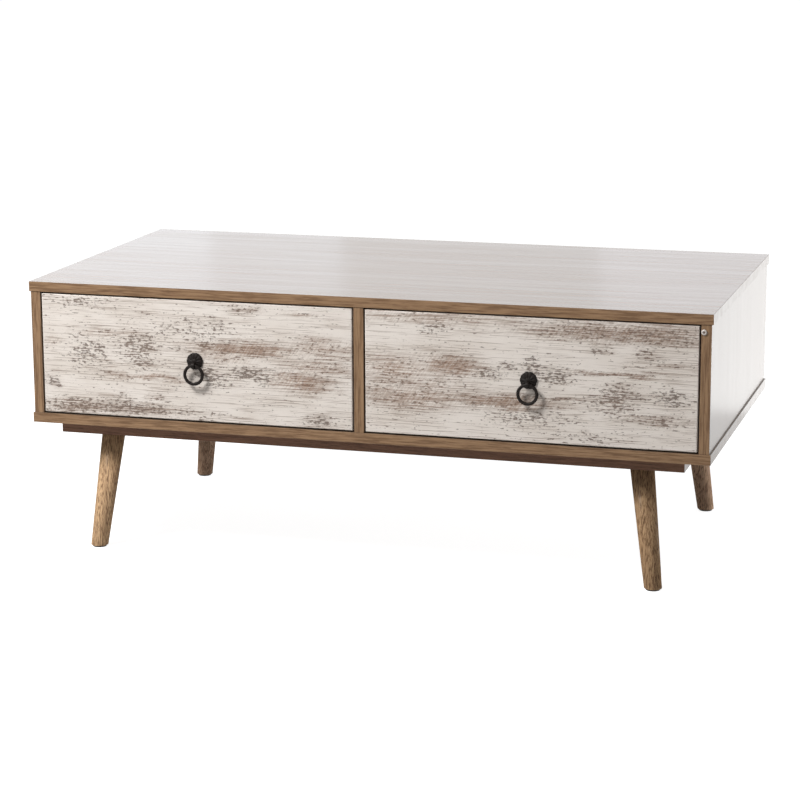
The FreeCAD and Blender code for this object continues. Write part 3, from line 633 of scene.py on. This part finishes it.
def screw_finish(name):
    """Zinc plate with a cross sunk in the head, drawn from the screw's own middle; the cross is painted
    dark as shade in the recess.
    """
    material, tree, shader = new_finish(name)
    place = local_place(tree)
    apart = add_node(tree, "ShaderNodeSeparateXYZ", None, {0: place})
    reach = [calculate(tree, "ABSOLUTE", apart.outputs[axis]) for axis in "XY"]
    arms = []
    for narrow, far in (reach, reversed(reach)):
        in_width = calculate(tree, "LESS_THAN", narrow, SCREW_SLOT_HALF_WIDTH)
        in_length = calculate(tree, "LESS_THAN", far, SCREW_SLOT_HALF_LENGTH)
        arms.append(calculate(tree, "MULTIPLY", in_width, in_length))
    cross = calculate(tree, "MAXIMUM", *arms)
    cloud = noise(tree, place, (SCREW_CLOUDS,) * 3, 3.0)
    tone = blend(tree, span(tree, cloud, *CLOUDY), *SCREW_TONES)
    # The cross is painted dark as the shade in its recess
    fill(tree, shader.inputs["Base Color"], blend(tree, cross, tone, SCREW_SLOT_PAINTED_SHADE))
    fill(tree, shader.inputs["Roughness"], span(tree, cloud, *CLOUDY, 0.25, 0.42))
    height = calculate(tree, "SUBTRACT", 1.0, cross)
    fill(tree, shader.inputs["Normal"], bump(tree, height, SCREW_SLOT_DEPTH))
    settle(shader, Metallic=1.0)
    return material


def bumper_finish(name, radius):
    """Soft milky plastic: pale at the rim, and showing the wood through its thin middle."""
    material, tree, shader = new_finish(name)
    place = local_place(tree)
    cloud = noise(tree, place, (BUMPER_CLOUDS,) * 3, 3.0)
    flat = stretch(tree, place, (1.0, 1.0, 0.0))
    reach = add_node(tree, "ShaderNodeVectorMath", {"operation": "LENGTH"}, {0: flat}).outputs["Value"]
    middle = span(tree, reach, radius * BUMPER_MIDDLE_RIM, radius * BUMPER_MIDDLE_CORE)
    milk = blend(tree, span(tree, cloud, *CLOUDY), *MILK_TONES)
    fill(tree, shader.inputs["Base Color"], blend(tree, middle, milk, BUMPER_MIDDLE_TONE))
    fill(tree, shader.inputs["Roughness"], span(tree, cloud, *CLOUDY, 0.14, 0.26))
    fill(tree, shader.inputs["Normal"], bump(tree, cloud, BUMPER_RELIEF))
    settle(shader, Specular_IOR_Level=0.3)
    return material


pull_iron = iron_finish("antique_pull_iron")
runner_enamel = plain_finish("runner_enamel", ENAMEL_TONES, (0.28, 0.40))
roller_nylon = plain_finish("roller_nylon", NYLON_TONES, (0.45, 0.60))
glide_plastic = plain_finish("glide_plastic", GLIDE_TONES, (0.45, 0.62))
zinc_plate = plain_finish("zinc_plate", ZINC_TONES, (0.25, 0.40), metallic=1.0)
screw_zinc = screw_finish("screw_zinc")
print("finishes:", len(bpy.data.materials))

# %% [markdown]
# ## Dress the solids
# Each solid keeps its shape and gets its finish. No real board has a knife-sharp edge, so a weld joins
# the loose faces of each solid and a small bevel breaks its edges. Both are modifiers, which leave the
# solid itself untouched.

# %% Give every solid its finish
FINISH_OF = {
    "top_panel": oak_lengthwise,
    "bottom_panel": oak_lengthwise,
    "left_side_panel": oak_upright,
    "right_side_panel": oak_upright,
    "centre_divider": oak_upright,
    "back_panel": thin_board,
    "carcass_tongues": tongue_wood,
    "front_leg_rail": shaded_rail_wood,
    "rear_leg_rail": shaded_rail_wood,
    "leg_hanger_bolts": zinc_plate,
    "leg_glides": glide_plastic,
    "edge_bumper": roller_nylon,
    "left_drawer_front": left_paint,
    "right_drawer_front": right_paint,
    **leg_woods,
}
FINISH_BY_END = {
    "_runner": runner_enamel,
    "_roller": roller_nylon,
    "_left_side": box_board,
    "_right_side": box_board,
    "_drawer_back": box_cross_board,
    "_drawer_bottom": thin_board,
    "_pull_rosette": pull_iron,
    "_pull_ring": pull_iron,
    "_pull_screw": zinc_plate,
}
BOARD_BEVEL = 0.0005
METAL_BEVEL = 0.00025
BEVEL_STEPS = 2
BEVEL_ANGLE = math.radians(30)
WELD_DISTANCE = 0.00001


def finish_for(name):
    """The finish of a solid, found by its whole name or by how the name ends."""
    if name in FINISH_OF:
        return FINISH_OF[name]
    return next(finish for end, finish in FINISH_BY_END.items() if name.endswith(end))


def ease_edges(piece, width):
    """Join the solid's faces and break its edges with a narrow bevel."""
    weld = piece.modifiers.new("weld", "WELD")
    weld.merge_threshold = WELD_DISTANCE
    bevel = piece.modifiers.new("eased_edges", "BEVEL")
    bevel.width = width
    bevel.segments = BEVEL_STEPS
    bevel.limit_method = "ANGLE"
    bevel.angle_limit = BEVEL_ANGLE


for name, solid in nodes.items():
    finish = finish_for(name)
    for slot in solid.material_slots:
        slot.material = finish
    is_metal = finish in (runner_enamel, pull_iron, zinc_plate, roller_nylon, glide_plastic)
    ease_edges(solid, METAL_BEVEL if is_metal else BOARD_BEVEL)
print("dressed:", len(nodes))

# %% [markdown]
# ## Round legs
# The real legs are turned on a lathe and splayed, with level ends. The solids have flat sides, so we
# build each leg again from many rings of points: a straight taper between the foot and the rail,
# with a small rounding at the foot where the edge would chip.

# %% Turn the legs
FOOT_RADIUS = 0.014
TOP_RADIUS = 0.019
FOOT_ROUNDING = 0.0009
LEG_POINTS = 56
ROUNDING_STEPS = 5


def new_piece(name, mesh, finish, body, place=Matrix.Identity(4)):
    """Link a mesh as a piece that rides on a body of the table."""
    if not mesh.materials:
        mesh.materials.append(finish)
    piece = bpy.data.objects.new(name, mesh)
    piece.matrix_world = place
    bpy.context.scene.collection.objects.link(piece)
    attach(piece, body)
    return piece


def add_skin(shape, loops, closed=False):
    """Cover loops of places with smooth faces; the ends are capped, or joined if the loops close up."""
    corners = [[shape.verts.new(place) for place in loop] for loop in loops]
    pairs = list(zip(corners, corners[1:]))
    if closed:
        pairs.append((corners[-1], corners[0]))
    else:
        shape.faces.new(reversed(corners[0]))
        shape.faces.new(corners[-1])
    for lower, upper in pairs:
        for index in range(len(lower)):
            after = (index + 1) % len(lower)
            shape.faces.new((lower[index], lower[after], upper[after], upper[index])).smooth = True


def to_mesh(name, shape):
    """Turn the faces outward and keep the shape as a mesh."""
    bmesh.ops.recalc_face_normals(shape, faces=shape.faces)
    mesh = bpy.data.meshes.new(name)
    shape.to_mesh(mesh)
    shape.free()
    return mesh


def circle(centre, radius, points):
    """Places round a level circle."""
    turns = [2 * math.pi * index / points for index in range(points)]
    return [centre + Vector((math.cos(turn), math.sin(turn), 0)) * radius for turn in turns]


def lathe_rings(name, rings, points):
    """A closed mesh through level rings, each given as its centre and its radius."""
    shape = bmesh.new()
    add_skin(shape, [circle(centre, radius, points) for centre, radius in rings])
    return to_mesh(name, shape)


def leg_rings(foot, top):
    """Rings from the rounded foot up the straight taper."""
    rings = []
    height = top.z - foot.z
    for step in range(ROUNDING_STEPS + 1):
        angle = math.pi / 2 * step / ROUNDING_STEPS
        share = FOOT_ROUNDING * (1 - math.cos(angle)) / height
        inset = FOOT_ROUNDING * (1 - math.sin(angle))
        rings.append((foot.lerp(top, share), FOOT_RADIUS + (TOP_RADIUS - FOOT_RADIUS) * share - inset))
    rings.append((top, TOP_RADIUS))
    return rings


for end in ("front", "rear"):
    for side in ("left", "right"):
        node_name = f"{end}_{side}_leg"
        low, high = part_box(node_name)
        foot_x = low.x + FOOT_RADIUS if side == "left" else high.x - FOOT_RADIUS
        foot_y = low.y + FOOT_RADIUS if end == "front" else high.y - FOOT_RADIUS
        top_x = high.x - TOP_RADIUS if side == "left" else low.x + TOP_RADIUS
        top_y = high.y - TOP_RADIUS if end == "front" else low.y + TOP_RADIUS
        rings = leg_rings(Vector((foot_x, foot_y, low.z)), Vector((top_x, top_y, high.z)))
        mesh = lathe_rings(f"turned_{node_name}", rings, LEG_POINTS)
        leg = new_piece(f"turned_{node_name}", mesh, leg_woods[node_name], "carcass")
        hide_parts(node_name)
        lean = [round(shift * 1000, 1) for shift in (top_x - foot_x, top_y - foot_y)]
        print(leg.name, "leans", lean, "mm")

# %% [markdown]
# ## Rings of the pulls
# Each ring is a slightly oval bar, bent round and closed, and cast with slight lumps. A torus made
# point by point lets us vary the bar's thickness a little, which keeps the highlights alive.

# %% Cast the rings
RING_OUTER_RADIUS = 0.017
RING_BAR_RADIUS = 0.0023
RING_BAR_DEPTH = 0.96
RING_BAR_BREADTH = 1.10
RING_POINTS = 96
BAR_POINTS = 20
RING_LUMPS = ((5, 0.025, 0.4), (11, 0.018, 1.9))


def ring_mesh(name, centre):
    """A lumpy torus that hangs upright, facing the front."""
    loops = []
    line_radius = RING_OUTER_RADIUS - RING_BAR_RADIUS
    for index in range(RING_POINTS):
        turn = 2 * math.pi * index / RING_POINTS
        outward = Vector((math.cos(turn), 0, math.sin(turn)))
        lump = sum(size * math.sin(count * turn + phase) for count, size, phase in RING_LUMPS)
        thickness = RING_BAR_RADIUS * (RING_BAR_DEPTH + lump)
        breadth = RING_BAR_RADIUS * (RING_BAR_BREADTH + lump)
        loop = []
        for step in range(BAR_POINTS):
            angle = 2 * math.pi * step / BAR_POINTS
            offset = outward * breadth * math.cos(angle) + Vector((0, thickness * math.sin(angle), 0))
            loop.append(centre + outward * line_radius + offset)
        loops.append(loop)
    shape = bmesh.new()
    add_skin(shape, loops, closed=True)
    return to_mesh(name, shape)


for bay in ("left", "right"):
    node_name = f"{bay}_drawer_pull_ring"
    low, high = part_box(node_name)
    mesh = ring_mesh(f"{bay}_cast_ring", (low + high) / 2)
    ring = new_piece(f"{bay}_cast_ring", mesh, pull_iron, f"{bay}_ring")
    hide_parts(node_name)
    print(ring.name, "centre", [round(value, 4) for value in (low + high) / 2])

# %% [markdown]
# ## Rosettes of the pulls
# Behind each ring sits a small cast rosette: a low dome with ten swelling petals, a round boss, and an
# eye in which the ring hangs. A founder would carve the petals into the pattern. We do it with a height
# for each distance and direction from the middle; the eye is a short tube with rounded edges.

# %% Cast the rosettes
PETALS = 10
ROSETTE_RADIUS = 0.0135
ROSETTE_RIM = 0.0016
ROSETTE_DOME = 0.0042
PETAL_SWELL = 0.0012
SCALLOP = 0.05
BOSS_RADIUS = 0.0042
BOSS_TOP = 0.0054
BOSS_DROP = 0.0014
ROSETTE_STEPS = 26
INNERMOST_SHARE = 0.02
ROSETTE_POINTS = 160
SPIGOT_RADIUS = 0.004
SPIGOT_LENGTH = 0.008
EYE_PLACE = Vector((0, -0.006, 0.008))
EYE_INNER = 0.00285
EYE_OUTER = 0.00475
EYE_HALF_WIDTH = 0.0025
EYE_ROUNDING = 0.0006
EYE_POINTS = 44
CORNER_STEPS = 4


def petal_height(share, swell):
    """Height of the rosette at a share of its radius; swell is 1 along a petal and 0 between two."""
    dome = ROSETTE_RIM + (ROSETTE_DOME - ROSETTE_RIM) * (1 - share**2)
    height = dome + PETAL_SWELL * (swell - 0.5) * math.sin(math.pi * min(1, share * 1.1)) ** 0.6
    boss_share = share * ROSETTE_RADIUS / BOSS_RADIUS
    if boss_share < 1:
        height = max(height, BOSS_TOP - BOSS_DROP * boss_share**3)
    return height


def rosette_loops():
    """Loops from the back of the rim, round its edge, and in over the petals to the middle."""
    turns = [2 * math.pi * index / ROSETTE_POINTS for index in range(ROSETTE_POINTS)]
    swells = [abs(math.cos(turn * PETALS / 2)) ** 0.7 for turn in turns]
    loops = []
    for step in range(ROSETTE_STEPS + 1):
        share = max(INNERMOST_SHARE, 1 - max(0, step - 1) / (ROSETTE_STEPS - 1))
        loop = []
        for turn, swell in zip(turns, swells):
            radius = share * ROSETTE_RADIUS * (1 - SCALLOP * (1 - swell) * share**4)
            height = petal_height(share, swell) if step else 0.0
            loop.append(Vector((radius * math.cos(turn), radius * math.sin(turn), height)))
        loops.append(loop)
    return loops


def eye_loops():
    """Loops round the eye: its wall is a rectangle with rounded corners, turned about the ring's bar."""
    middle = (EYE_INNER + EYE_OUTER) / 2
    half_wall = (EYE_OUTER - EYE_INNER) / 2 - EYE_ROUNDING
    outline = []
    for corner, (side, out) in enumerate(((1, 1), (-1, 1), (-1, -1), (1, -1))):
        for step in range(CORNER_STEPS + 1):
            angle = math.pi / 2 * (corner + step / CORNER_STEPS)
            along = side * (EYE_HALF_WIDTH - EYE_ROUNDING) + EYE_ROUNDING * math.cos(angle)
            outline.append((along, middle + out * half_wall + EYE_ROUNDING * math.sin(angle)))
    loops = []
    for index in range(EYE_POINTS):
        turn = 2 * math.pi * index / EYE_POINTS
        outward = Vector((0, math.cos(turn), math.sin(turn)))
        loops.append([EYE_PLACE + Vector((along, 0, 0)) + outward * radius for along, radius in outline])
    return loops


for bay in ("left", "right"):
    node_name = f"{bay}_drawer_pull_rosette"
    low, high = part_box(node_name)
    face_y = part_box(f"{bay}_drawer_front")[0].y
    shape = bmesh.new()
    add_skin(shape, rosette_loops())
    add_skin(shape, eye_loops(), closed=True)
    spigot_ends = (Vector((0, 0, -SPIGOT_LENGTH)), Vector((0, 0, 0)))
    add_skin(shape, [circle(end, SPIGOT_RADIUS, EYE_POINTS) for end in spigot_ends])
    middle = Vector(((low.x + high.x) / 2, face_y, high.z - ROSETTE_RADIUS))
    place = Matrix.Translation(middle) @ Matrix.Rotation(math.pi / 2, 4, "X")
    mesh = to_mesh(f"{bay}_cast_rosette", shape)
    rosette = new_piece(mesh.name, mesh, pull_iron, f"{bay}_drawer", place)
    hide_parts(node_name)
    print(rosette.name, "middle", [round(value, 4) for value in middle])

# %% [markdown]
# ## Bumper
# A small stick-on bumper sits on the front edge of the right side, near the top. It is a low dome with
# a flat foot, so we turn its outline about its own axis.

# %% Turn the bumper
# Each ring of the outline: its share of the height and its share of the radius
BUMPER_PROFILE = (
    (0.0, 0.98), (0.35, 1.0), (0.62, 0.97), (0.80, 0.88), (0.95, 0.74), (1.0, 0.60), (0.80, 0.30)
)
BUMPER_POINTS = 40

low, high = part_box("edge_bumper")
centre = (low + high) / 2
height = high.y - low.y
radius = (high.x - low.x) / 2
bumper_rings = [(Vector((0, 0, height * up)), radius * wide) for up, wide in BUMPER_PROFILE]
mesh = lathe_rings("soft_bumper", bumper_rings, BUMPER_POINTS)
bumper_plastic = bumper_finish("bumper_plastic", radius)
bumper_place = Matrix.Translation((centre.x, high.y, centre.z)) @ Matrix.Rotation(math.pi / 2, 4, "X")
bumper = new_piece("soft_bumper", mesh, bumper_plastic, "carcass", bumper_place)
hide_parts("edge_bumper")
print("bumper", round(radius * 2000, 1), "mm wide")

# %% [markdown]
# ## Screws
# Small screws hold the runners and the rails. They are too small to matter for strength here, so they
# are only seen. One head is turned as a low dome, and all screws share that mesh.

# %% Set the screws
# Each ring of the head: its height and its radius
SCREW_HEAD = ((0.0, 0.0031), (0.0007, 0.0030), (0.0011, 0.0024), (0.00125, 0.0013))
SCREW_POINTS = 28
RUNNER_SCREW_INSET = 0.06
RUNNER_SCREW_RISE = 0.0107
RUNNER_SHEET = 0.0012
RAIL_SCREW_PLACES = (-0.32, 0.0, 0.32)
RAIL_SCREW_SINK = 0.0008

screw_rings = [(Vector((0, 0, up)), wide) for up, wide in SCREW_HEAD]
screw_mesh = lathe_rings("screw_head", screw_rings, SCREW_POINTS)


def set_screw(name, place, direction, body):
    """A screw head at a place, facing a direction, fixed to a body."""
    turn = Vector((0, 0, 1)).rotation_difference(Vector(direction)).to_matrix().to_4x4()
    new_piece(name, screw_mesh, screw_zinc, body, Matrix.Translation(place) @ turn)


screw_count = 0
for bay in ("left", "right"):
    for owner, body in (("bay", "carcass"), ("drawer", f"{bay}_drawer")):
        for hand in ("left", "right"):
            runner = f"{bay}_{owner}_{hand}_runner"
            low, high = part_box(runner)
            outward = 1 if hand == "right" else -1
            if owner == "bay":
                wall_x = high.x - RUNNER_SHEET if hand == "right" else low.x + RUNNER_SHEET
                facing = (-outward, 0, 0)
            else:
                side_low, side_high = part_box(f"{bay}_drawer_{hand}_side")
                wall_x = (side_high.x if hand == "right" else side_low.x) + outward * RUNNER_SHEET
                facing = (outward, 0, 0)
            for number, y in enumerate((low.y + RUNNER_SCREW_INSET, high.y - RUNNER_SCREW_INSET), 1):
                place = Vector((wall_x, y, low.z + RUNNER_SCREW_RISE))
                set_screw(f"{runner}_screw_{number}", place, facing, body)
                screw_count += 1
for rail in ("front_leg_rail", "rear_leg_rail"):
    low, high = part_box(rail)
    for number, x in enumerate(RAIL_SCREW_PLACES, 1):
        place = Vector((x, (low.y + high.y) / 2, low.z + RAIL_SCREW_SINK))
        set_screw(f"{rail}_screw_{number}", place, (0, 0, -1), "carcass")
        screw_count += 1
print("screws:", screw_count)

# %% [markdown]
# ## Studio
# The photograph shows the table on plain white. A pale floor takes the shadow, and for camera and
# mirror rays floor and world read as white. From below the floor is clear, so that we can look under
# the table. A soft lamp hangs high at the front left, and a small one low at the right lights the
# shaded legs. Bright, slightly cool panels stand behind the table: we do not see them, but the satin
# film mirrors them at a low angle, which makes the top and the right side pale.

# %% Build the floor, the world and the lamps
FLOOR_HALF = 30.0
FLOOR_TONES = ((0.44, 0.44, 0.44, 1), (0.48, 0.48, 0.48, 1))
FLOOR_GLOW = 0.92
AMBIENT = 0.22


def seen_or_mirrored(tree):
    """1 for rays from the camera and for mirrored and passed-through rays, otherwise 0."""
    path = add_node(tree, "ShaderNodeLightPath")
    rays = [path.outputs[f"Is {kind} Ray"] for kind in ("Camera", "Glossy", "Transmission")]
    return calculate(tree, "MAXIMUM", calculate(tree, "MAXIMUM", rays[0], rays[1]), rays[2])


def floor_finish():
    """Pale floor that looks white, takes shadows, and is clear from below."""
    material, tree, shader = new_finish("pale_floor")
    cloud = noise(tree, local_place(tree), (3.0,) * 3, 3.0)
    fill(tree, shader.inputs["Base Color"], blend(tree, cloud, *FLOOR_TONES))
    settle(shader, Roughness=0.9, Specular_IOR_Level=0.0, Emission_Color=(1, 1, 1, 1))
    glow = calculate(tree, "MULTIPLY", seen_or_mirrored(tree), FLOOR_GLOW)
    fill(tree, shader.inputs["Emission Strength"], glow)
    below = add_node(tree, "ShaderNodeNewGeometry").outputs["Backfacing"]
    fill(tree, shader.inputs["Alpha"], calculate(tree, "SUBTRACT", 1.0, below))
    return material


floor_mesh = bpy.data.meshes.new("floor")
corners = [(-1, -1), (1, -1), (1, 1), (-1, 1)]
floor_mesh.from_pydata([(FLOOR_HALF * x, FLOOR_HALF * y, 0) for x, y in corners], [], [(0, 1, 2, 3)])
floor_mesh.materials.append(floor_finish())
floor = bpy.data.objects.new("floor", floor_mesh)
bpy.context.scene.collection.objects.link(floor)

world = bpy.data.worlds.new("white_studio")
world.use_nodes = True
bpy.context.scene.world = world
backdrop = world.node_tree.nodes["Background"]
backdrop.inputs["Color"].default_value = (1, 1, 1, 1)
level = span(world.node_tree, seen_or_mirrored(world.node_tree), 0.0, 1.0, AMBIENT, 1.0)
fill(world.node_tree, backdrop.inputs["Strength"], level)


def soft_lamp(name, place, aim, width, height, watts, tint=(1.0, 1.0, 1.0)):
    """A rectangle of light at a place, turned to its aim and left out of the picture."""
    data = bpy.data.lights.new(name, "AREA")
    data.shape = "RECTANGLE"
    data.size = width
    data.size_y = height
    data.energy = watts
    data.color = tint
    lamp = bpy.data.objects.new(name, data)
    direction = Vector(aim) - Vector(place)
    turn = direction.to_track_quat("-Z", "Y").to_matrix().to_4x4()
    lamp.matrix_world = Matrix.Translation(place) @ turn
    lamp.visible_camera = False
    bpy.context.scene.collection.objects.link(lamp)


KEY_PLACE = (-1.5, -1.65, 2.6)
KEY_AIM = (0.0, -0.2, 0.3)
KEY_SIZE = 0.8
KEY_WATTS = 114.0
FILL_PLACE = (1.6, 0.6, 0.25)
FILL_AIM = (0.5, 0.2, 0.1)
FILL_SIZE = 0.4
FILL_WATTS = 6.0
# Each panel behind the table: distance, left, right, bottom, top, how bright it looks, and its tint
REAR_PANELS = {
    "rear_panel_left": (1.15, -1.60, -0.78, 0.42, 0.95, 1.32, (0.864, 0.924, 1.0)),
    "rear_panel_half_left": (1.15, -0.78, -0.48, 0.42, 0.95, 1.01, (0.885, 0.935, 1.0)),
    "rear_panel_middle": (1.15, -0.48, 0.08, 0.42, 0.95, 0.71, (0.93, 0.96, 1.0)),
    "rear_panel_right": (1.15, 0.08, 0.58, 0.42, 0.95, 0.96, (0.92, 0.94, 1.0)),
    "rear_panel_low_right": (0.92, 0.50, 1.00, 0.02, 0.42, 1.12, (1.0, 1.0, 1.0)),
}
soft_lamp("front_left_softbox", KEY_PLACE, KEY_AIM, KEY_SIZE, KEY_SIZE, KEY_WATTS)
soft_lamp("low_right_fill", FILL_PLACE, FILL_AIM, FILL_SIZE, FILL_SIZE, FILL_WATTS)
for name, (distance, left, right, bottom, top, brightness, tint) in REAR_PANELS.items():
    middle = Vector(((left + right) / 2, distance, (bottom + top) / 2))
    watts = brightness * math.pi * (right - left) * (top - bottom)
    soft_lamp(name, middle, middle - Vector((0, 1, 0)), right - left, top - bottom, watts, tint)
bpy.context.scene.view_settings.view_transform = "Standard"
print("lamps:", len(bpy.data.lights))
